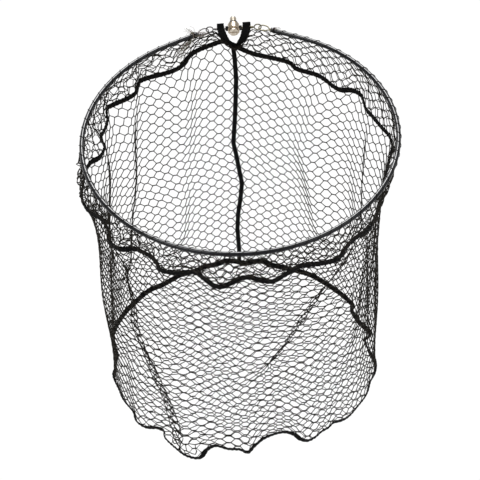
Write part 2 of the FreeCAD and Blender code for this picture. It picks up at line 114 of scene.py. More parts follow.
COLLAR_REAR_RIGHT = [
    (391, 152), (390, 137.5), (380, 125.5), (372.5, 116.5), (366, 109), (362, 97), (357.5, 92.5), (350, 90),
    (341, 90), (333.5, 86.5), (326, 80.5), (317, 75), (305, 71.5), (296, 68.5), (290, 63), (281, 60),
    (267.5, 57), (252.5, 53.5),
]
BOTTOM_REAR_LEFT = [
    (239, 262), (234, 261), (225, 261), (217.5, 264), (204, 267), (195, 271), (180, 275), (174, 278.5),
    (162, 285), (150, 290), (138, 299.5), (126, 311.5), (117, 325), (112.5, 338.5),
]
BOTTOM_FRONT = [
    (117, 352), (115.5, 368.5), (114, 377.5), (120, 391), (123.8, 400), (133.5, 412), (136.5, 421),
    (145.5, 427), (157.5, 427.8), (163.5, 430), (165, 437.5), (174, 446.5), (186, 455.5), (199.5, 457.8),
    (207, 449.5), (216, 445.8), (228, 448.8), (240, 449.5), (248, 452.5), (254, 446.5), (263, 439),
    (275, 433.8), (285.5, 432), (294.5, 434.5), (300.5, 439), (308, 440.5), (315.5, 436.8), (321.5, 431.5),
    (329, 427), (333.5, 422.5), (342.5, 420), (350, 415), (359, 404.5), (366.5, 394), (370, 382),
    (374.8, 373),
]
BOTTOM_REAR_RIGHT = [
    (375, 362), (369.5, 352), (365, 340), (371, 334), (359, 322), (351.5, 310), (353, 305.5), (344, 296.5),
    (332, 287.5), (320, 280), (308, 274), (290, 269), (272, 265), (260, 261), (246, 263),
]
REAR_SEAM = [
    (232, 49), (235, 65.5), (236.5, 85), (235.8, 107.5), (235, 124), (233.5, 145), (236.5, 157),
    (239.5, 172), (241.8, 182.5), (240.3, 197.5), (238, 212.5), (237.3, 227.5), (238, 239.5), (240, 255),
]
# Creases of the side netting: their line in the picture, far side or near, and in metres their width, how
# deep they sink, how far one side steps in and the other out, and how far the netting is drawn to them
CREASES = [
    ([(140, 92), (137, 160), (134, 225), (132, 262)], True, 0.038, 0.001, 0.0128, 0.0),
    ([(106.5, 112), (106, 160), (108, 215)], True, 0.020, 0.003, 0.0044, 0.0),
    ([(190, 78), (184, 167), (175, 240)], True, 0.030, 0.021, 0.004, 0.0),
    ([(320, 86), (308, 142), (320, 190), (328, 235)], True, 0.030, 0.021, -0.004, 0.0),
    ([(367, 98), (367, 150), (366, 220)], True, 0.020, 0.003, -0.0040, 0.0),
    ([(351, 245), (330, 280), (311, 309), (297, 330), (285, 350), (270, 369)], False,
     0.042, 0.003, 0.0, 0.0270),
    ([(128, 262), (127, 280), (132, 303), (133, 325), (140, 343), (150, 363), (158, 381), (167, 400),
      (175, 422), (183, 443)], False, 0.050, 0.004, 0.0, 0.0365),
]


def camera_axes():
    """The camera's place and its right, up and forward directions: it stands at the given distance and
    height angle before the hoop, looks at the target, and is rolled about that line."""
    place = CAMERA_DISTANCE * np.array([0.0, -math.cos(CAMERA_ELEVATION), math.sin(CAMERA_ELEVATION)])
    forward = CAMERA_TARGET - place
    forward /= np.linalg.norm(forward)
    right = np.cross(forward, UP)
    right /= np.linalg.norm(right)
    up = np.cross(right, forward)
    cos, sin = math.cos(CAMERA_ROLL), math.sin(CAMERA_ROLL)
    return place, cos * right + sin * up, cos * up - sin * right, forward


def sight_points(pixels):
    """Points along each pixel's line of sight, pixel x step x 3, and their distance from the bag's axis."""
    place, right, up, forward = camera_axes()
    offset = (np.asarray(pixels, float) - FRAME_PIXELS / 2) / FOCAL_PIXELS
    line = forward + offset[:, :1] * right - offset[:, 1:] * up
    steps = np.linspace(CAMERA_DISTANCE - 0.8, CAMERA_DISTANCE + 1.0, 3601)
    points = place + steps[None, :, None] * line[:, None]
    radius = np.hypot(points[..., 0] - LEAN * points[..., 2], points[..., 1])
    return points, radius


def on_ring(pixels, ring_radius, height, far):
    """Where each pixel's line of sight passes nearest to a level ring, on its far or near half."""
    points, radius = sight_points(pixels)
    miss = np.hypot(radius - ring_radius, points[..., 2] - height)
    miss[(points[..., 1] > 0.0) != far] = np.inf
    deepest = (points[..., 2] >= LOWEST).sum(axis=1) - 1
    return points[np.arange(len(points)), np.minimum(miss.argmin(axis=1), deepest)]


def on_wall(pixels, far):
    """Angle and height where each pixel's line of sight meets the side of the bag, from the lowest up."""
    points, radius = sight_points(pixels)
    wall = np.interp(points[..., 2], [BOTTOM_HEIGHT, COLLAR_HEIGHT], [BOTTOM_RADIUS, WALL_RADIUS])
    miss = np.abs(radius - wall)
    miss[((points[..., 1] > 0.0) != far) | (points[..., 2] > 0.02)] = np.inf
    hit = points[np.arange(len(points)), miss.argmin(axis=1)]
    hit = hit[np.argsort(hit[:, 2])]
    return np.unwrap(angle_of(hit)), hit[:, 2]


def closed_up(points, axis=0):
    """Closed lines of points, with the first point again at the end."""
    return np.concatenate([points, points.take([0], axis)], axis)


def lengths(points, axis=0):
    """Running length along lines of points, from zero."""
    steps = np.linalg.norm(np.diff(points, axis=axis), axis=-1).cumsum(axis)
    return np.concatenate([0.0 * steps.take([0], axis), steps], axis)


def read_off(wanted, known, points):
    """Points at the wanted places along a line whose own points have known places."""
    return np.stack([np.interp(wanted, known, values) for values in points.T], axis=-1)


def curve_through(points, count, closed=True):
    """A smooth line through the points, set out at equal lengths. Between two points it is the sum of four
    neighbours with cubic weights: half of (2p1 + (p2-p0)t + (2p0-5p1+4p2-p3)t2 + (3p1-p0-3p2+p3)t3)."""
    points = np.asarray(points, float)
    n = len(points)
    spans = n if closed else n - 1
    t = np.linspace(0.0, spans, 24 * spans + 1)
    k = np.minimum(t.astype(int), spans - 1)
    f = (t - k)[:, None]
    take = (lambda i: points[i % n]) if closed else (lambda i: points[np.clip(i, 0, n - 1)])
    p0, p1, p2, p3 = take(k - 1), take(k), take(k + 1), take(k + 2)
    fine = 0.5 * (2 * p1 + (p2 - p0) * f + (2 * p0 - 5 * p1 + 4 * p2 - p3) * f**2
                  + (3 * p1 - p0 - 3 * p2 + p3) * f**3)
    length = lengths(fine)
    at = np.linspace(0.0, length[-1], count + 1)[: count if closed else count + 1]
    return read_off(at, length, fine)


def averaged(values, reach):
    """Running mean of a closed line over a share of its length on either side."""
    n = len(values)
    half = max(1, int(reach * n))
    padded = np.concatenate([values[-half:], values, values[:half]])
    total = np.concatenate([np.zeros((1,) + values.shape[1:]), np.cumsum(padded, axis=0)])
    return (total[2 * half + 1:] - total[: n]) / (2 * half + 1)


def rail(count, radius, height, bulge, rear_left, front, rear_right):
    """A tape's centre line through its points in the picture, from the back seam round by the left. At the
    front it lies further out by the bulge."""
    return curve_through(np.vstack([on_ring(rear_left, radius, height, True),
                                    on_ring(front, radius + bulge, height, False),
                                    on_ring(rear_right, radius, height, True)]), count)


def collar_rail(count):
    return rail(count, COLLAR_RADIUS, COLLAR_HEIGHT, 0.004, COLLAR_REAR_LEFT, COLLAR_FRONT,
                COLLAR_REAR_RIGHT)


def bottom_rail(count):
    return rail(count, BOTTOM_RADIUS, BOTTOM_HEIGHT, 0.0, BOTTOM_REAR_LEFT, BOTTOM_FRONT,
                BOTTOM_REAR_RIGHT)


def wrapped(angle):
    """The same angle between minus and plus half a turn."""
    return np.angle(np.exp(1j * angle))


def angle_of(points):
    """Angle round the bag's own leaning axis."""
    return np.arctan2(points[..., 1], points[..., 0] - LEAN * points[..., 2])


def outward(points):
    """Level unit vectors away from the bag's axis."""
    away = np.stack([points[..., 0] - LEAN * points[..., 2], points[..., 1], 0.0 * points[..., 0]], axis=-1)
    return away / np.maximum(np.linalg.norm(away, axis=-1, keepdims=True), 1e-9)


class Sheet:
    """A netting surface held as a grid of rows x columns of points, closed across the columns. A place is
    given in columns and rows, and its point is the weighted mean of the four grid points round it."""

    def __init__(self, grid, columns, rows):
        self.grid, self.columns, self.rows = grid, columns, rows

    def __call__(self, column, row):
        height, width = self.grid.shape[:2]
        x = (column / self.columns % 1.0) * width
        y = np.clip(row / self.rows, 0.0, 1.0) * (height - 1)
        i, j = np.floor(x).astype(int) % width, np.minimum(y.astype(int), height - 2)
        fx, fy = (x - np.floor(x))[..., None], (y - j)[..., None]
        k = (i + 1) % width
        low = self.grid[j, i] * (1 - fx) + self.grid[j, k] * fx
        high = self.grid[j + 1, i] * (1 - fx) + self.grid[j + 1, k] * fx
        return low * (1 - fy) + high * fy


def evened(grid):
    """The same surface with its columns at equal lengths along every row."""
    closed = closed_up(grid, 1)
    length = lengths(closed, 1)
    length /= length[:, -1:]
    shift = 2.0 * np.arange(len(grid))[:, None]
    wanted = (np.arange(grid.shape[1]) / grid.shape[1])[None] + shift
    return read_off(wanted, (length + shift).ravel(), closed.reshape(-1, 3))


def make_mesh(name, verts, quads, uvs=None, material=None, smooth=True):
    """A mesh object from arrays: points, faces of four corners, and a UV pair for each face corner."""
    mesh = bpy.data.meshes.new(name)
    quads = np.asarray(quads, np.int32)
    mesh.vertices.add(len(verts))
    mesh.vertices.foreach_set("co", np.asarray(verts, np.float32).ravel())
    mesh.loops.add(quads.size)
    mesh.loops.foreach_set("vertex_index", quads.ravel())
    mesh.polygons.add(len(quads))
    mesh.polygons.foreach_set("loop_start", np.arange(len(quads), dtype=np.int32) * 4)
    mesh.polygons.foreach_set("use_smooth", np.full(len(quads), smooth))
    if uvs is not None:
        layer = mesh.uv_layers.new(name="UVMap")
        layer.data.foreach_set("uv", np.asarray(uvs, np.float32).ravel())
    mesh.update(calc_edges=True)
    mesh.validate()
    piece = bpy.data.objects.new(name, mesh)
    bpy.context.scene.collection.objects.link(piece)
    if material:
        mesh.materials.append(material)
    return piece


def unit(vectors):
    return vectors / np.maximum(np.linalg.norm(vectors, axis=-1, keepdims=True), 1e-12)


def cells(grid):
    """The four corners of each cell of grids, in order round it."""
    return grid[:, :-1, :-1], grid[:, :-1, 1:], grid[:, 1:, 1:], grid[:, 1:, :-1]


def cap(corners):
    """Quads that fill a ring of corners, as numbers of its corners."""
    return np.array([[k, k + 1, corners - 2 - k, corners - 1 - k] for k in range(corners // 2 - 1)])


def swept(paths, profiles, across, closed=False):
    """Profiles carried along paths. paths is path x step x 3; profiles is step-wise rings of (side, up)
    offsets, path x step x corner x 2 or one that fits; across is the up direction at each step. The side
    direction is square to the path and to up. An open path is capped at both ends with quads.
    Returns points, faces, and UVs whose u runs along the path and v round the profile, in metres."""
    if closed:
        along = np.roll(paths, -1, axis=1) - np.roll(paths, 1, axis=1)
    else:
        along = np.gradient(paths, axis=1)
    along = unit(along)
    up = unit(across - (across * along).sum(-1, keepdims=True) * along)
    side = np.cross(along, up)
    count, steps = paths.shape[:2]
    ring = np.broadcast_to(profiles, (count, steps) + profiles.shape[-2:])
    corners = ring.shape[2]
    verts = paths[:, :, None] + ring[..., :1] * side[:, :, None] + ring[..., 1:] * up[:, :, None]
    index = np.arange(count * steps * corners).reshape(count, steps, corners)
    rows, line = (closed_up(index, 1), closed_up(paths, 1)) if closed else (index, paths)
    uv = np.broadcast_arrays(lengths(line, 1)[:, :, None], lengths(closed_up(ring[:, :1], 2), 2))
    faces = [np.stack(cells(closed_up(rows, 2)), axis=-1).reshape(-1, 4)]
    coords = [np.stack(cells(np.stack(uv, axis=-1)), axis=-2).reshape(-1, 4, 2)]
    if not closed:
        order = cap(corners)
        faces += [index[:, 0][:, order[:, ::-1]].reshape(-1, 4), index[:, -1][:, order].reshape(-1, 4)]
        coords.append(np.zeros((2 * count * len(order), 4, 2)))
    return verts.reshape(-1, 3), np.vstack(faces), np.vstack(coords)


def round_profile(radius, corners=6):
    """Corners of a round section, with a half-corner turn so that the end caps split into quads."""
    angle = (np.arange(corners) + 0.5) / corners * TURN
    return np.asarray(radius)[..., None, None] * np.stack([np.cos(angle), np.sin(angle)], axis=-1)


def thread_along(path, radius, across, closed=False):
    """One round thread of even thickness along a line."""
    return swept(path[None], round_profile(np.full(len(path), radius))[None], across[None], closed)


def strands(sheet, twine, knot, lean_way, shift=0.0):
    """One family of the netting's twines. Each runs down the sheet, one half row at a time: along a short
    level joint, then slanting to the next column's joint, always leaning the same way. Its thickness
    swells at the joints, where it is twisted with a twine of the other family."""
    starts = np.arange(0, sheet.columns, 2)[:, None, None]
    half_rows = np.arange(sheet.rows * 2 + 1)[None, :, None]
    step_row = np.array([0.0, 0.0, 0.30, 0.70])
    step_column = JOINT_SHARE * np.array([-1, 1, 1, 1]) + step_row * (1 - 2 * JOINT_SHARE)
    column = starts + half_rows + step_column
    row = (half_rows + step_row) / 2 + 0 * column
    column, row = (a.reshape(len(starts), -1)[:, :-2] for a in (column, row))
    column = lean_way * column + shift
    paths = sheet(column, row)
    normal = unit(np.cross(sheet(column + 0.25, row) - sheet(column - 0.25, row),
                           sheet(column, row + 0.25) - sheet(column, row - 0.25)))
    beat = np.arange(paths.shape[1]) % 4
    swell = np.where(beat < 2, knot, twine)
    weave = np.where(beat == 0, 0.35, np.where(beat == 1, -0.35, 0.0)) * lean_way
    paths = paths + normal * (weave * twine)[None, :, None]
    return swept(paths, round_profile(swell)[None], normal)


def joined(parts):
    """Several point and face arrays as one."""
    verts, quads, uvs, base = [], [], [], 0
    for v, q, c in parts:
        verts.append(v)
        quads.append(q + base)
        uvs.append(c)
        base += len(v)
    return np.vstack(verts), np.vstack(quads), np.vstack(uvs)


def both_ways(operation):
    """An operator's plain and reflected form, each of which puts a Math node in."""
    return (lambda link, other: link.math(operation, link, other),
            lambda link, other: link.math(operation, other, link))


class Link:
    """A shader socket in a sum, with a number or another link on either side."""

    def __init__(self, paint, socket):
        self.paint, self.socket = paint, socket

    def math(self, operation, first, second):
        return self.paint.node("ShaderNodeMath", {"operation": operation}, {0: first, 1: second})

    __add__, __radd__ = both_ways("ADD")
    __sub__, __rsub__ = both_ways("SUBTRACT")
    __mul__, __rmul__ = both_ways("MULTIPLY")


class Paint:
    """A material under construction: a Principled shader and the nodes that feed it."""

    def __init__(self, name, **constants):
        self.material = bpy.data.materials.new(name)
        self.material.use_nodes = True
        self.tree = self.material.node_tree
        self.shader = self.tree.nodes["Principled BSDF"]
        for socket, value in constants.items():
            self.shader.inputs[socket.replace("_", " ")].default_value = value

    def node(self, kind, settings=None, inputs=None, output=0):
        """Adds a node, makes its settings, then fills its sockets with numbers, colours or links."""
        made = self.tree.nodes.new(kind)
        for key, value in (settings or {}).items():
            if key == "stops":
                self._stops(made.color_ramp, value)
            else:
                setattr(made, key, value)
        for key, value in (inputs or {}).items():
            if isinstance(value, Link):
                self.tree.links.new(value.socket, made.inputs[key])
            else:
                made.inputs[key].default_value = value
        return Link(self, made.outputs[output])

    def _stops(self, ramp, stops):
        while len(ramp.elements) < len(stops):
            ramp.elements.new(1.0)
        for element, (place, grey) in zip(ramp.elements, stops):
            element.position = place
            element.color = (grey, grey, grey, 1.0)

    def place(self, kind="Object"):
        return self.node("ShaderNodeTexCoord", output=kind)

    def part(self, vector, axis):
        return self.node("ShaderNodeSeparateXYZ", None, {0: vector}, "XYZ".index(axis))

    def scaled(self, vector, x, y, z):
        return self.node("ShaderNodeVectorMath", {"operation": "MULTIPLY"}, {0: vector, 1: (x, y, z)})

    def noise(self, vector, scale, detail=3.0, roughness=0.5):
        return self.node("ShaderNodeTexNoise", None,
                         {"Vector": vector, "Scale": scale, "Detail": detail, "Roughness": roughness}, "Fac")

    def ramp(self, value, stops):
        return self.node("ShaderNodeValToRGB", {"stops": stops}, {0: value}, "Color")

    def level(self, value, low, high, to_low=0.0, to_high=1.0):
        return self.node("ShaderNodeMapRange", {"clamp": True}, {
            "Value": value, "From Min": low, "From Max": high, "To Min": to_low, "To Max": to_high})

    def wave(self, value, per_metre):
        """0 to 1 and back, so many times a metre."""
        turned = self.node("ShaderNodeMath", {"operation": "SINE"}, {0: value * (per_metre * TURN)})
        return turned * 0.5 + 0.5

    def mixed(self, share, first, second):
        """One colour over another by a share."""
        return self.node("ShaderNodeMix", {"data_type": "RGBA"}, {0: share, 6: first, 7: second}, 2)

    def feed(self, **links):
        for key, link in links.items():
            self.tree.links.new(link.socket, self.shader.inputs[key.replace("_", " ")])

    def bump(self, height, distance, strength):
        settings = {"Height": height, "Distance": distance, "Strength": strength}
        self.feed(Normal=self.node("ShaderNodeBump", None, settings, "Normal"))
        return self.material

    def finish(self, colour, grain, dull, *relief):
        """Feeds the colour, a roughness that a noise moves between two values, and a bump."""
        self.feed(Base_Color=colour, Roughness=self.level(grain, 0.3, 0.7, *dull))
        return self.bump(*relief)


def shade(colour, factor=1.0):
    return tuple(min(1.0, c * factor) for c in colour[:3]) + (1.0,)


def coated_tube(colour):
    """Black lacquered tube: a fine orange-peel skin, streaks along it, paler rubbed marks, and a top that
    hands and nets have polished."""
    paint = Paint("coated_tube", Coat_Roughness=0.10, Specular_IOR_Level=0.28)
    place = paint.place()
    peel = paint.noise(place, 900.0, 2.0)
    streak = paint.noise(place, 60.0, 5.0, 0.65)
    worn = paint.ramp(paint.noise(place, 130.0, 6.0, 0.7), [(0.60, 0.0), (0.74, 1.0)])
    paint.feed(Coat_Weight=paint.level(paint.part(place, "Z"), 0.0028, 0.0040, 0.0, 0.9))
    return paint.finish(paint.mixed(worn, shade(colour), shade(colour, 3.5)), streak, (0.12, 0.26),
                        peel * 0.6 + streak * 0.4, 0.00002, 0.3)


def brushed_metal(name, colour, dark):
    """Turned alloy: fine rings left by the tool round the stud's axis, a dull film and darker stains."""
    paint = Paint(name, Metallic=1.0)
    place = paint.place()
    middle = paint.node("ShaderNodeVectorMath", {"operation": "SUBTRACT"},
                        {0: place, 1: (0.0, ARM_Y, 0.0)})
    flat = paint.scaled(middle, 1.0, 0.0, 1.0)
    radius = paint.node("ShaderNodeVectorMath", {"operation": "LENGTH"}, {0: flat}, "Value")
    rings = paint.wave(radius + paint.part(middle, "Y") * 0.35, 1900.0)
    film = paint.noise(place, 420.0, 5.0, 0.6)
    stain = paint.ramp(paint.noise(place, 150.0, 4.0, 0.6), [(0.42, 0.0), (0.68, 1.0)])
    return paint.finish(paint.mixed(stain * 0.7, shade(colour), shade(dark)), film, (0.24, 0.46),
                        rings * 0.5 + film * 0.5, 0.00005, 0.8)


def wire_metal(left, right):
    """Drawn wire: silver on the left bail and olive on the right one, blended across the middle."""
    paint = Paint("wire_metal", Metallic=1.0)
    place = paint.place()
    share = paint.level(paint.part(place, "X"), -0.02, 0.02)
    tarnish = paint.noise(place, 300.0, 5.0, 0.65)
    base = paint.mixed(share, shade(left), shade(right))
    spots = paint.ramp(tarnish, [(0.45, 0.0), (0.75, 0.6)])
    return paint.finish(paint.mixed(spots, base, (0.12, 0.10, 0.07, 1.0)), tarnish, (0.22, 0.42),
                        paint.noise(paint.scaled(place, 0.3, 1.0, 1.0), 1500.0), 0.00004, 0.7)


def black_metal(colour):
    """Blackened steel with pale rubbed corners."""
    paint = Paint("black_steel", Metallic=0.85)
    place = paint.place()
    grain = paint.noise(place, 700.0, 5.0, 0.6)
    rubbed = paint.ramp(paint.noise(place, 260.0, 6.0, 0.7), [(0.58, 0.0), (0.70, 1.0)])
    return paint.finish(paint.mixed(rubbed, shade(colour), (0.16, 0.15, 0.14, 1.0)), grain, (0.32, 0.55),
                        grain, 0.00005, 0.7)


def plug_plastic(colour):
    """Moulded black plastic with a fine sparked grain."""
    paint = Paint("plug_plastic")
    place = paint.place()
    grain = paint.noise(place, 1400.0, 4.0, 0.7)
    return paint.finish(paint.mixed(grain, shade(colour), shade(colour, 2.2)), grain, (0.42, 0.62),
                        grain, 0.00008, 0.8)


def twine_fibre(name, colour, per_metre=420.0):
    """Twisted twine: slanting strands that run round it as they go along, with painted shade in the grooves
    between them and a painted highlight on their crests, and patches of pale fluff.
    """
    paint = Paint(name, Sheen_Weight=0.02, Sheen_Roughness=0.5, Specular_IOR_Level=0.10)
    uv = paint.place("UV")
    lay_and_painted_shade = paint.wave(paint.part(uv, "X") + paint.part(uv, "Y") * 0.8, per_metre)
    hair = paint.noise(paint.scaled(uv, 600.0, 2400.0, 0.0), 1.0)
    patch = paint.noise(paint.place(), 25.0)
    # Painted shade and highlight: a darker copy of the colour in the twist's grooves and a lighter one on its
    # crests.
    base = paint.mixed(lay_and_painted_shade, shade(colour, 0.45), shade(colour, 1.5))
    return paint.finish(paint.mixed(paint.level(patch, 0.35, 0.7, 0.0, 0.5), base, shade(colour, 2.3)),
                        hair, (0.5, 0.75), lay_and_painted_shade * 0.7 + hair * 0.3, 0.00012, 0.8)


def frayed_fibre(pink, olive):
    """Frayed thread ends: dark fibres with patches that have faded to pink and to olive."""
    paint = Paint("frayed_fibre", Specular_IOR_Level=0.25)
    place = paint.place()
    faded = paint.ramp(paint.noise(place, 160.0, 2.0), [(0.42, 0.0), (0.58, 1.0)])
    tint = paint.mixed(faded, shade(pink), shade(olive))
    dark = paint.ramp(paint.noise(place, 700.0), [(0.50, 0.0), (0.68, 1.0)])
    paint.feed(Base_Color=paint.mixed(dark, tint, (0.012, 0.011, 0.010, 1.0)),
               Roughness=paint.level(dark, 0.0, 1.0, 0.5, 0.8))
    return paint.bump(paint.noise(place, 2600.0), 0.00005, 0.6)


def binding_fabric(colour):
    """Woven binding: ribs across the tape and warp threads along it, with painted shade between the threads
    and a painted highlight on them, fluff, and paler worn patches.
    """
    paint = Paint("binding_fabric", Sheen_Weight=0.02, Sheen_Roughness=0.5, Specular_IOR_Level=0.08)
    uv = paint.place("UV")
    along, across = paint.part(uv, "X"), paint.part(uv, "Y")
    weave = paint.wave(along, 900.0) * paint.wave(across, 1300.0)
    fluff = paint.noise(paint.scaled(uv, 900.0, 1500.0, 0.0), 1.0, 4.0, 0.7)
    tone = paint.noise(paint.place(), 40.0, 4.0)
    # Painted shade and highlight: a darker copy of the colour between the woven threads and a lighter one on
    # them.
    base = paint.mixed(weave, shade(colour, 0.5), shade(colour, 1.7))
    return paint.finish(paint.mixed(paint.level(tone, 0.35, 0.75, 0.0, 0.55), base, shade(colour, 2.4)),
                        fluff, (0.68, 0.92), weave * 0.6 + fluff * 0.4, 0.00018, 0.9)


def floor_white(colour):
    """White paper lit from behind: it glows evenly and takes no shadow."""
    return Paint("studio_floor", Roughness=1.0, Specular_IOR_Level=0.0, Base_Color=(0.0, 0.0, 0.0, 1.0),
                 Emission_Color=shade(colour), Emission_Strength=1.03).material


def size_prop(name, description, default, low, high):
    return FloatProperty(name=name, description=description, default=default, min=low, max=high,
                         unit="LENGTH", precision=5)


def count_prop(name, description, default, low, high):
    return IntProperty(name=name, description=description, default=default, min=low, max=high)


def colour_prop(name, description, default):
    return FloatVectorProperty(name=name, description=description, default=default, size=3, min=0.0, max=1.0,
                               subtype="COLOR")


class LandingNetSizes(bpy.types.PropertyGroup):
    twine: size_prop("Twine", "Radius of the netting's twine between its joints", 0.00087, 0.0002, 0.003)
    joint: size_prop("Joint", "Radius of each twine at a joint", 0.00112, 0.0002, 0.004)
    tape_width: size_prop("Tape width", "Width of the binding tapes", 0.0120, 0.004, 0.03)
    tape_thickness: size_prop("Tape thickness", "Thickness of the folded binding", 0.0030, 0.0005, 0.008)
    side_columns: count_prop("Side columns", "Meshes round the side netting", 112, 20, 200)
    side_rows: count_prop("Side rows", "Meshes down the side netting", 25, 4, 60)
    collar_columns: count_prop("Collar columns", "Meshes round the collar", 136, 20, 240)
    collar_rows: count_prop("Collar rows", "Meshes down the collar", 4, 1, 12)
    lashing_turns: count_prop("Lashing turns", "Turns of cord round the hoop", 71, 10, 200)


class LandingNetColours(bpy.types.PropertyGroup):
    tube: colour_prop("Tube", "Lacquer of the hoop", (0.005, 0.0055, 0.008))
    twine: colour_prop("Twine", "Netting", (0.0120, 0.0098, 0.0070))
    tape: colour_prop("Tape", "Binding", (0.0032, 0.0032, 0.0034))
    alloy: colour_prop("Alloy", "Handle fitting", (0.76, 0.69, 0.59))
    alloy_dark: colour_prop("Dull alloy", "Dull film on the fitting", (0.38, 0.29, 0.19))
    thread: colour_prop("Thread", "Stitches in the tapes", (0.016, 0.016, 0.017))
    hub: colour_prop("Hub", "Hub of the fitting", (0.56, 0.48, 0.38))
    wire_left: colour_prop("Left wire", "Left bail and arm", (0.20, 0.195, 0.20))
    wire_right: colour_prop("Right wire", "Right bail and arm", (0.20, 0.18, 0.12))
    nut: colour_prop("Nut", "Blackened nuts", (0.015, 0.014, 0.013))
    plug: colour_prop("Plug", "End plugs", (0.014, 0.014, 0.015))
    tail_pink: colour_prop("Pink fibre", "Faded ends of the lashing", (0.42, 0.32, 0.32))
    tail_olive: colour_prop("Olive fibre", "Faded ends of the lashing", (0.22, 0.22, 0.13))
    floor: colour_prop("Floor", "Studio floor", (1.0, 1.0, 1.0))


def sizes():
    return bpy.context.scene.landing_net_sizes


def colours():
    return bpy.context.scene.landing_net_colours


def tube_line(share, margin=0.0):
    """Points of the tube's middle line and the level way out from it, for shares of its length from its left
    end to its right one: a straight end, the bend and a straight end."""
    bend = HOOP_RADIUS * (math.pi - BEND_END)
    half = bend + STRAIGHT_END - margin
    run = (2 * share - 1) * half
    past = np.maximum(np.abs(run) - bend, 0.0) * np.sign(run)
    angle = -math.pi / 2 + (run - past) / HOOP_RADIUS
    away = np.stack([np.cos(angle), np.sin(angle), 0 * angle], axis=-1)
    return away * HOOP_RADIUS + np.cross(UP, away) * past[:, None], away


def winding(share, wind, margin=0.0):
    """The tube's middle line and the spokes from it to a cord that winds round it by the given angles."""
    middle, away = tube_line(share, margin)
    return middle, away * np.cos(wind)[:, None] + UP * np.sin(wind)[:, None]


def hoop_top(angle):
    """Top edge of the collar netting at an angle: under the tube, and in the gap at the back along the arms
    and then down the mouth straps to the foot of the V."""
    x, y = HOOP_RADIUS * np.cos(angle), HOOP_RADIUS * np.sin(angle)
    across = np.abs(x)
    bend_x, bend_y = HOOP_RADIUS * math.sin(BEND_END), HOOP_RADIUS * math.cos(BEND_END)
    behind = (y > 0.0) & (across < bend_x)
    height = np.interp(across, [0.0, 0.010, 0.022, 0.029, 0.033, END_X],
                       [-0.050, -0.044, -0.030, -0.013, COLLAR_TOP, COLLAR_TOP])
    back = np.interp(across, [0.0, ARM_TIP, END_X, bend_x], [ARM_Y, ARM_Y, END_Y, bend_y])
    y = np.where(behind, back + 0.21 * (height - COLLAR_TOP), y)
    return np.stack([x, y, np.where(behind, height, COLLAR_TOP)], axis=-1)


def crease_bell(line, far, width, angle, height):
    """How many widths each point lies beside a crease, and the bell curve of that, faded at its ends."""
    at, z = on_wall(line, far)
    beside = wrapped(angle - np.interp(height, z, at)) * CREASE_RADIUS / width
    fade = np.clip((height - z[0] + 0.03) / 0.05, 0, 1) * np.clip((z[-1] + 0.03 - height) / 0.05, 0, 1)
    return beside, np.exp(-beside**2) * fade


def gathered(grid):
    """The netting drawn together sideways at its folds, until its layers lie over each other there."""
    angle, height, away = angle_of(grid), grid[..., 2], outward(grid)
    slip = np.zeros_like(height)
    for line, far, width, _, _, gather in CREASES:
        beside, bell = crease_bell(line, far, width, angle, height)
        slip = slip - BELL_PEAK * gather * beside * bell
    return grid + slip[..., None] * np.cross(UP, away)


def side_surface():
    """The side netting. Between the two tapes' averaged lines it is straight; the tapes' own waves fade away
    from them, creases sink it by a bell curve, a few long waves move it gently, and at the back its middle
    moves over to the seam's line."""
    top, low = collar_rail(SURFACE_POINTS), bottom_rail(SURFACE_POINTS)
    top_mean, low_mean = averaged(top, 0.035), averaged(low, 0.035)
    inner = top_mean - 0.013 * outward(top_mean)
    s = np.linspace(0.0, 1.0, 121)[:, None, None]
    grid = inner * (1 - s) + low_mean * s
    grid = grid + (top - inner) * np.exp(-s / 0.13) * (1 - s) + (low - low_mean) * np.exp((s - 1) / 0.12) * s
    angle, height, away = angle_of(grid), grid[..., 2], outward(grid)
    s = s[..., 0]
    belly = np.sin(np.pi * s)
    push = 0.0035 * belly * (np.sin(9 * angle + 5 * s) + 0.7 * np.sin(14 * angle - 4 * s + 1.0)
                             + 0.5 * np.sin(23 * angle + 9 * s + 2.0))
    for line, far, width, depth, step, _ in CREASES:
        beside, bell = crease_bell(line, far, width, angle, height)
        push = push - (depth + BELL_PEAK * step * beside) * bell * np.minimum(1.0, 6 * s * (1 - s) + 0.25)
    grid = grid + push[..., None] * away
    at, z = on_wall(REAR_SEAM, True)
    near = np.exp(-((wrapped(angle - math.pi / 2) / 0.35) ** 2))
    aside = np.interp(height, z, LEAN * z + WALL_RADIUS * np.cos(at)) - grid[:, :1, 0]
    grid[..., 0] += aside * near * np.minimum(1.0, 6 * (1 - s))
    return gathered(evened(grid))


def side_sheet():
    return Sheet(side_surface(), 2 * (sizes().side_columns // 2), sizes().side_rows)


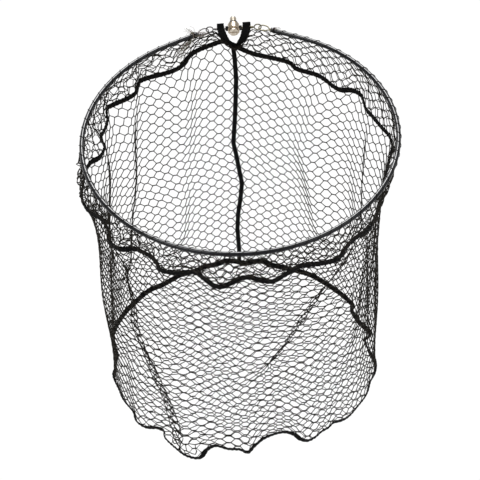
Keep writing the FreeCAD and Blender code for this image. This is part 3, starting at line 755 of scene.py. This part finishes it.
def collar_sheet(layer):
    """One of the collar's two layers of netting, from the hoop down to the collar tape, crumpled by short
    waves that die out at both its edges and are strongest on the left. The second layer hangs inside."""
    low = collar_rail(SURFACE_POINTS)
    turn = np.linspace(0.0, TURN, SURFACE_POINTS, endpoint=False)
    angle = np.unwrap(angle_of(low))
    even = averaged(angle - angle[0] - turn, 0.02) + angle[0] + turn
    s = np.linspace(0.0, 1.0, 41)[:, None, None]
    grid = hoop_top(even) * (1 - s) + low * s
    away = outward(grid)
    s = s[..., 0]
    belly = np.sin(np.pi * s)
    crumple = belly * (0.42 + 0.58 * np.clip(0.5 - away[..., 0], 0.0, 1.0)) * (1.0 if layer == 0 else 0.8)
    late = 1.7 * layer
    out = 0.006 * belly - 0.0022 * layer + 0.0040 * crumple * (
        np.sin(41 * turn + 6 * s + late) + 0.8 * np.sin(67 * turn - 9 * s + 1.3)
        + 0.5 * np.sin(93 * turn + 5 * s))
    slip = 0.0030 * crumple * (np.sin(33 * turn + 7 * s + 0.4 + late) + 0.8 * np.sin(57 * turn - 6 * s))
    rise = 0.0030 * crumple * (np.sin(49 * turn + 5 * s + 2.0) + np.sin(29 * turn - 8 * s + late))
    grid = grid + out[..., None] * away + slip[..., None] * np.cross(UP, away) + rise[..., None] * UP
    return Sheet(grid, 2 * (sizes().collar_columns // 2), sizes().collar_rows)


def tape_profile(width, thickness):
    """Section of a folded binding: a ring squared off by powers of its sine and cosine, with a dip in the
    shape of a bell at the line of stitches."""
    angle = (np.arange(20) + 0.5) / 20 * TURN
    side, up = (np.sign(wave) * np.abs(wave) ** power
                for wave, power in ((np.sin(angle), 0.55), (np.cos(angle), 0.7)))
    waist = 1.0 - 0.38 * np.exp(-(((side + 0.45) / 0.22) ** 2))
    return np.stack([side * width / 2, up * waist * thickness / 2], axis=-1)


def tape_along(path, normal, width, thickness, closed, pucker=0.0004, narrow=1.0):
    """A binding tape carried along a line, its face turned to the normal, with the small puckers that the
    stitches pull into it. It narrows by a share at each point."""
    step = np.linalg.norm(np.roll(path, -1, axis=0) - path, axis=1).mean()
    wind = np.arange(len(path)) * step * TURN
    wave = 1.0 + 0.10 * np.sin(wind / 0.0072) + 0.06 * np.sin(wind / 0.0113 + 1.0)
    size = np.stack([narrow * (1.0 + 0.03 * np.sin(wind / 0.0091)), wave], axis=-1)[:, None]
    shifted = path + normal * (pucker * np.sin(wind / 0.0085))[:, None]
    return swept(shifted[None], (tape_profile(width, thickness)[None] * size)[None], normal[None], closed)


def stitches(path, normal, offset, height, closed, pitch=0.0040):
    """Stitches along both faces of a tape, in a line beside its middle. Each is a short thread that leaves
    the tape, bows out by the sine of its length and goes back in."""
    if closed:
        path, normal = closed_up(path), closed_up(normal)
    length = lengths(path)
    count = int(length[-1] / pitch)
    share = np.linspace(-0.36, 0.36, 5)
    run = (np.arange(count)[:, None] + 0.5 + share[None]) * (length[-1] / count)
    at, out = read_off(run, length, path), unit(read_off(run, length, normal))
    side = np.cross(unit(np.gradient(at, axis=1)), out)
    bow = (height + 0.00035 * np.cos(share / 0.36 * math.pi / 2) - 0.0002)[None, :, None]
    thread = round_profile(np.full(5, STITCH_RADIUS))[None]
    return joined(swept(at + side * offset + out * bow * face, thread, out * face) for face in (1, -1))


def tuft(start, end, spread, bow, count, seed, thick=0.00030):
    """A bundle of loose threads. Each goes from near the start to somewhere round the end, bows aside by the
    sine of its length, and curls by a small wave that grows towards its tip."""
    rng = np.random.default_rng(seed)
    t = np.linspace(0.0, 1.0, 18)[None, :, None]
    first = np.asarray(start) + rng.normal(0.0, 0.0009, (count, 1, 3))
    last = np.asarray(end) + rng.normal(0.0, spread, (count, 1, 3))
    aside, curl = rng.normal(0.0, bow, (2, count, 1, 3))
    paths = first + (last - first) * t + aside * np.sin(math.pi * t)
    paths = paths + 0.4 * curl * t * np.sin(11.0 * t + 900.0 * curl[..., :1])
    across = unit(np.cross(paths[:, -1:] - paths[:, :1], [0.3, 0.2, 1.0])) + 0.0 * paths
    return swept(paths, round_profile((thick * (1.0 - 0.5 * t[..., 0])) + np.zeros((count, 1))), across)


def knot(centre, scale, thick):
    """A tight three-lobed knot: a thread runs twice round a ring while it goes three times through it."""
    turn = np.linspace(0.0, TURN, 96, endpoint=False)
    ring = 2.0 + np.cos(3 * turn)
    path = np.column_stack([ring * np.cos(2 * turn), ring * np.sin(2 * turn), 1.3 * np.sin(3 * turn)]) * scale
    away = unit(path * [1.0, 1.0, 2.0])
    return thread_along(path[:, [0, 2, 1]] + centre, thick, away[:, [0, 2, 1]], True)


def placed(name, made, material, body, node=None):
    """Makes a piece, hides the CAD node it stands for, and parents it to the body that carries it. What
    belongs to the bag's side reaches from one body to the other, so it is baked in place with no parent."""
    piece = make_mesh(name, *made, material)
    if node:
        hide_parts(node)
    if body == "side":
        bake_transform(piece)
    else:
        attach(piece, body)


def dress(material, *nodes):
    """Gives carried-over CAD nodes their material."""
    for node in nodes:
        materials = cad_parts[node].data.materials
        materials.clear()
        materials.append(material)


class LANDINGNET_OT_studio(bpy.types.Operator):
    """Camera at the picture's viewing angle, a white floor and soft light"""
    bl_idname = "landing_net.studio"
    bl_label = "Studio"

    def execute(self, context):
        place, right, up, forward = camera_axes()
        data = bpy.data.cameras.new("camera")
        data.sensor_width = SENSOR
        data.lens = FOCAL_PIXELS / FRAME_PIXELS * SENSOR
        data.clip_start, data.clip_end = 0.1, 50.0
        camera = bpy.data.objects.new("camera", data)
        context.scene.collection.objects.link(camera)
        turn = Matrix(np.column_stack([right, up, -forward]).tolist()).to_4x4()
        camera.matrix_world = Matrix.Translation(Vector(place)) @ turn
        context.scene.camera = camera
        for name, where, size, power, target in (
            ("key_light", (-1.6, -1.2, 2.6), (1.6, 1.6), 22.0, (0, 0, -0.2)),
            ("fill_light", (2.2, -1.4, 1.8), (2.2, 2.2), 12.0, (0, 0, -0.3)),
            ("back_light", (0.0, 2.5, 2.5), (1.3, 1.8), 85.0, (0, 0, 0)),
        ):
            lamp = bpy.data.lights.new(name, "AREA")
            lamp.shape, lamp.energy, lamp.size, lamp.size_y = "RECTANGLE", power, *size
            light = bpy.data.objects.new(name, lamp)
            context.scene.collection.objects.link(light)
            light.location = where
            light.rotation_euler = (Vector(target) - Vector(where)).to_track_quat("-Z", "Y").to_euler()
        world = bpy.data.worlds.new("studio_air")
        world.use_nodes = True
        air = world.node_tree.nodes["Background"].inputs
        air["Color"].default_value, air["Strength"].default_value = (1.0, 1.0, 1.0, 1.0), 0.4
        context.scene.world = world
        context.scene.view_settings.view_transform = "Standard"
        corners = [(-6, -6, FLOOR), (6, -6, FLOOR), (6, 6, FLOOR), (-6, 6, FLOOR)]
        white = floor_white(colours().floor)
        make_mesh("studio_floor", corners, [[0, 1, 2, 3]], None, white, smooth=False)
        return {"FINISHED"}


class LANDINGNET_OT_hoop(bpy.types.Operator):
    """Finish of the hoop's tube and its end plugs"""
    bl_idname = "landing_net.hoop"
    bl_label = "Hoop"

    def execute(self, context):
        dress(coated_tube(colours().tube), "hoop_tube")
        dress(plug_plastic(colours().plug), "end_plug_left", "end_plug_right")
        return {"FINISHED"}


class LANDINGNET_OT_lashing(bpy.types.Operator):
    """Cord wound round the hoop, with its knots and frayed ends"""
    bl_idname = "landing_net.lashing"
    bl_label = "Lashing"

    def execute(self, context):
        turns = sizes().lashing_turns
        t = np.linspace(0.0, 1.0, turns * STEPS_A_TURN + 1)
        middle, spoke = winding(t, t * turns * TURN, 0.004)
        parts = []
        for ply in (0.0, math.pi):
            twist = t * turns * PLY_TWISTS * TURN + ply
            path = middle + spoke * (CORD_REACH + PLY_REACH * np.sin(twist))[:, None]
            tangent = unit(np.gradient(path, axis=0))
            path = path + np.cross(spoke, tangent) * (PLY_REACH * np.cos(twist))[:, None]
            parts.append(thread_along(path, PLY_RADIUS, spoke))
        fibre = twine_fibre("lashing_fibre", colours().twine, 700.0)
        placed("lashing_cord_plies", joined(parts), fibre, "hoop", "lashing_cord")
        self.knots()
        return {"FINISHED"}

    def knots(self):
        """The cord's two ends: close turns round the tube, a knot, and frayed tails. Each tail is given by
        its start and end from the knot in millimetres, its spread and bow, and its number and seed."""
        wraps, tails = [], []
        for end, way, bundles in (
            (0.0, 1, (((0, 0, 0), (-8, 4, 6), 0.0040, 0.0030, 12, 3),
                      ((0, 0, 0), (-16, -6, -26), 0.0055, 0.0035, 26, 5),
                      ((-12, -5, -20), (-32, -12, -50), 0.0060, 0.0045, 24, 8),
                      ((2, 0, -6), (24, 8, -12), 0.0028, 0.0030, 22, 9))),
            (1.0, -1, (((0, 0, 0), (12, -2, 1), 0.0020, 0.0016, 6, 11),
                       ((0, 0, 0), (-12, 4, -14), 0.0030, 0.0020, 9, 12))),
        ):
            t = np.linspace(0.0, 1.0, WRAP_TURNS * 24 + 1)
            middle, spoke = winding(end + way * (0.0012 + 0.0022 * t), t * WRAP_TURNS * TURN)
            centre = middle[len(t) // 2] + 0.0060 * UP
            wraps += [thread_along(middle + spoke * WRAP_REACH, WRAP_RADIUS, spoke),
                      knot(centre, 0.00065, WRAP_RADIUS)]
            tails += [tuft(centre + np.array(start) / 1000, centre + np.array(tip) / 1000, *rest)
                      for start, tip, *rest in bundles]
        fibre = twine_fibre("knot_fibre", colours().twine, 700.0)
        placed("lashing_knots", joined(wraps), fibre, "hoop")
        fray = frayed_fibre(colours().tail_pink, colours().tail_olive)
        placed("frayed_tails", joined(tails), fray, "hoop")


class LANDINGNET_OT_side_net(bpy.types.Operator):
    """Side netting of the bag"""
    bl_idname = "landing_net.side_net"
    bl_label = "Side netting"

    def execute(self, context):
        sheet = side_sheet()
        material = twine_fibre("net_twine", colours().twine)
        for name, way in (("side_net_right_lay", 1), ("side_net_left_lay", -1)):
            made = strands(sheet, sizes().twine, sizes().joint, way)
            placed(name, made, material, "side", "body_net")
        return {"FINISHED"}


class LANDINGNET_OT_collar_net(bpy.types.Operator):
    """Collar netting between the hoop and the collar tape"""
    bl_idname = "landing_net.collar_net"
    bl_label = "Collar netting"

    def execute(self, context):
        parts = []
        for layer, slack in ((0, 1.0), (1, 0.74)):
            sheet, twine, joint = collar_sheet(layer), sizes().twine * slack, sizes().joint * slack
            parts += [strands(sheet, twine, joint, way, 0.20 * layer) for way in (1, -1)]
        fibre = twine_fibre("collar_twine", colours().twine)
        placed("collar_netting", joined(parts), fibre, "hoop", "collar_net")
        return {"FINISHED"}


def bottom_height(points, edge):
    """How far out each plan point lies as a share of the way to the tape, and the bottom netting's height
    there: level in the middle with slight waves, and rising or falling to the tape near its edge."""
    offset, rim = points - BOTTOM_MIDDLE, edge[:, :2] - BOTTOM_MIDDLE
    angle, rim_angle = np.arctan2(offset[..., 1], offset[..., 0]), np.arctan2(rim[:, 1], rim[:, 0])
    order = np.argsort(rim_angle)
    rim_radius = np.interp(angle, rim_angle[order], np.hypot(rim[:, 0], rim[:, 1])[order], period=TURN)
    rim_height = np.interp(angle, rim_angle[order], edge[order, 2], period=TURN)
    share = np.hypot(offset[..., 0], offset[..., 1]) / rim_radius
    wave = 0.003 * (np.sin(points[..., 0] * 31 + 1) + np.sin(points[..., 1] * 37 + points[..., 0] * 17))
    level = BOTTOM_HEIGHT - 0.004
    return share, level + (rim_height - level) * np.clip(share, 0, 1) ** 5 + wave * (1 - share)


def trimmed(ends, others, reach, other_reach):
    """Ends that lie past the tape, moved back along their strands to it."""
    share = ((1 - other_reach) / (reach - other_reach))[:, None]
    return np.where((reach > 1)[:, None], others + (ends - others) * share, ends)


class LANDINGNET_OT_bottom_net(bpy.types.Operator):
    """Flat round netting at the bottom of the bag"""
    bl_idname = "landing_net.bottom_net"
    bl_label = "Bottom netting"

    def execute(self, context):
        edge = bottom_rail(900)
        i, v = np.meshgrid(np.arange(-18, 19), np.arange(-28, 29))
        keep = (i + v) % 2 == 0
        centre = np.stack([i[keep] * MESH_X, v[keep] * MESH_Y / 2], axis=-1) + BOTTOM_MIDDLE
        half = np.array([JOINT_SHARE * MESH_X, 0.0])
        left, right = centre - half, centre + half
        starts = np.concatenate([left, right, right])
        ends = np.concatenate([right, left + [MESH_X, MESH_Y / 2], left + [MESH_X, -MESH_Y / 2]])
        is_joint = np.arange(len(starts)) < len(left)
        reach_a, reach_b = bottom_height(starts, edge)[0], bottom_height(ends, edge)[0]
        keep = (reach_a < 1) | (reach_b < 1)
        starts, ends, is_joint, reach_a, reach_b = (
            values[keep] for values in (starts, ends, is_joint, reach_a, reach_b))
        for _ in range(3):
            ends = trimmed(ends, starts, reach_b, reach_a)
            starts = trimmed(starts, ends, reach_a, reach_b)
            reach_a, reach_b = bottom_height(starts, edge)[0], bottom_height(ends, edge)[0]
        share = np.array([0.0, 0.3, 0.7, 1.0])[None, :, None]
        plan = starts[:, None] * (1 - share) + ends[:, None] * share
        paths = np.concatenate([plan, bottom_height(plan, edge)[1][..., None]], axis=-1)
        thick = np.where(is_joint[:, None], BOTTOM_JOINT, BOTTOM_TWINE)
        made = swept(paths, round_profile(thick), UP + 0 * paths)
        fibre = twine_fibre("bottom_twine", colours().twine)
        placed("bottom_netting", made, fibre, "bag_base", "bottom_net")
        return {"FINISHED"}


class LANDINGNET_OT_tapes(bpy.types.Operator):
    """Collar tape, bottom tape and the seam tape down the back"""
    bl_idname = "landing_net.tapes"
    bl_label = "Tapes"

    def execute(self, context):
        width, thick = sizes().tape_width, sizes().tape_thickness
        fabric = binding_fabric(colours().tape)
        thread = twine_fibre("stitching_thread", colours().thread, 2200.0)
        top, low = collar_rail(RAIL_POINTS), bottom_rail(RAIL_POINTS)
        flared = math.cos(FLARE) * outward(low) - math.sin(FLARE) * UP
        sheet = side_sheet()
        seam = sheet(np.zeros(260), np.linspace(0.0, sheet.rows, 260))
        seam_normal = outward(seam)
        seam = seam - seam_normal * 0.0012
        for name, path, normal, across, deep, stand, closed, body, node in (
            ("collar", top, outward(top), width, thick, 0.30 * thick, True, "hoop", "collar_tape"),
            ("bottom", low, flared, width, thick, 0.30 * thick, True, "bag_base", "bottom_tape"),
            ("rear", seam, seam_normal, SEAM_WIDTH, SEAM_THICKNESS, 0.0007, False, "side", "rear_tape"),
        ):
            placed(name + "_binding", tape_along(path, normal, across, deep, closed), fabric,
                   body, node)
            placed(name + "_stitches", stitches(path, normal, STITCH_SIDE * across, stand, closed), thread,
                   body)
        return {"FINISHED"}


class LANDINGNET_OT_straps(bpy.types.Operator):
    """Mouth straps that loop over the arms and meet at the foot of the V"""
    bl_idname = "landing_net.straps"
    bl_label = "Mouth straps"

    def execute(self, context):
        fabric = binding_fabric(colours().tape)
        middle_x, foot_y, foot_z = collar_rail(RAIL_POINTS)[0] + [0.0, 0.0, 0.006]
        x = np.array([0.0, 0.0085, 0.0172, 0.0226, 0.0250, 0.0255])
        z = np.array([foot_z, foot_z + 0.005, -0.031, -0.014, 0.0, 0.0075])
        risen = np.clip((z - foot_z) / -foot_z, 0.0, 1.0)
        front, back = (np.column_stack([x, foot + (arm - foot) * risen, z]) for foot, arm in (
            (foot_y - 0.0010, ARM_Y - LOOP_DEPTH), (foot_y + 0.0012, ARM_Y + LOOP_DEPTH)))
        top = [[x[-1], ARM_Y + depth, LOOP_TOP] for depth in (-LOOP_TOP_DEPTH, LOOP_TOP_DEPTH)]
        for side, name, width in ((-1, "left", 0.0138), (1, "right", 0.0156)):
            path = np.vstack([front, top, back[::-1]]) * [side, 1, 1]
            path[[0, -1], 0] += middle_x
            line = curve_through(path, 160, closed=False)
            t = np.linspace(0.0, 1.0, len(line))
            angle = np.interp(t, [0.0, 0.42, 0.5, 0.58, 1.0], [-math.pi, -math.pi, -math.pi / 2, 0.0, 0.0])
            normal = np.stack([0 * t, np.cos(angle), -np.sin(angle)], axis=-1)
            narrow = np.interp(t, [0.0, 0.12, 0.26, 0.74, 0.88, 1.0], [0.45, 0.75, 1.0, 1.0, 0.75, 0.45])
            made = tape_along(line, normal, width, STRAP_THICKNESS, False, 0.0002, narrow)
            placed("mouth_binding_" + name, made, fabric, "hoop", "mouth_strap_" + name)
        return {"FINISHED"}


class LANDINGNET_OT_fitting(bpy.types.Operator):
    """Bails, arms, hub, stud and nuts of the handle fitting"""
    bl_idname = "landing_net.fitting"
    bl_label = "Handle fitting"

    def execute(self, context):
        c = colours()
        alloy = brushed_metal("champagne_alloy", c.alloy, c.alloy_dark)
        dress(alloy, "handle_stud")
        dress(brushed_metal("bronze_alloy", c.hub, c.alloy_dark), "fitting_hub")
        dress(wire_metal(c.wire_left, c.wire_right), "bail_left", "bail_right", "arm_eye_left",
              "arm_eye_right")
        dress(black_metal(c.nut), "arm_nut_left", "arm_nut_right", "stud_nut", "stud_washer")
        placed("stud_thread", self.thread(), alloy, "stud")
        return {"FINISHED"}

    def thread(self):
        """The stud's screw thread: round its axis, with a radius that rises and falls once a pitch as it goes
        along and round, and runs out at both ends. Two flat ends close it."""
        t = np.linspace(0.0, 1.0, 81)[:, None]
        turn = np.linspace(0.0, TURN, 48, endpoint=False)[None]
        y = THREAD_START + t * (THREAD_END - THREAD_START)
        tooth = np.abs(((y / THREAD_PITCH + turn / TURN) % 1.0) * 2 - 1)
        radius = THREAD_RADIUS + THREAD_DEPTH * tooth * np.clip(np.minimum(t, 1 - t) * 14, 0, 1)
        verts = np.stack([radius * np.cos(turn), y + 0 * turn, radius * np.sin(turn)], axis=-1)
        rows, cols = verts.shape[:2]
        index = np.arange(rows * cols).reshape(rows, cols)
        quads = np.stack(cells(closed_up(index, 1)[None])[::-1], axis=-1).reshape(-1, 4)
        order = cap(cols)
        return verts.reshape(-1, 3), np.vstack([quads, index[0][::-1][order], index[-1][order]]), None


class LANDINGNET_PT_panel(bpy.types.Panel):
    """Pieces of the landing net"""
    bl_idname = "LANDINGNET_PT_panel"
    bl_label = "Landing Net"
    bl_space_type = "VIEW_3D"
    bl_region_type = "UI"
    bl_category = "Landing Net"

    def draw(self, context):
        for group in (context.scene.landing_net_sizes, context.scene.landing_net_colours):
            for name in group.__annotations__:
                self.layout.prop(group, name)
        for operator in OPERATORS:
            self.layout.operator(operator.bl_idname)


OPERATORS = (
    LANDINGNET_OT_studio, LANDINGNET_OT_hoop, LANDINGNET_OT_lashing, LANDINGNET_OT_collar_net,
    LANDINGNET_OT_side_net, LANDINGNET_OT_bottom_net, LANDINGNET_OT_tapes, LANDINGNET_OT_straps,
    LANDINGNET_OT_fitting,
)
CLASSES = (LandingNetSizes, LandingNetColours) + OPERATORS + (LANDINGNET_PT_panel,)


def register():
    for item in CLASSES:
        bpy.utils.register_class(item)
    bpy.types.Scene.landing_net_sizes = PointerProperty(type=LandingNetSizes)
    bpy.types.Scene.landing_net_colours = PointerProperty(type=LandingNetColours)


def unregister():
    del bpy.types.Scene.landing_net_colours
    del bpy.types.Scene.landing_net_sizes
    for item in reversed(CLASSES):
        bpy.utils.unregister_class(item)


def main():
    register()
    for operator in OPERATORS:
        group, name = operator.bl_idname.split(".")
        getattr(getattr(bpy.ops, group), name)()


if __name__ == "__main__":
    main()
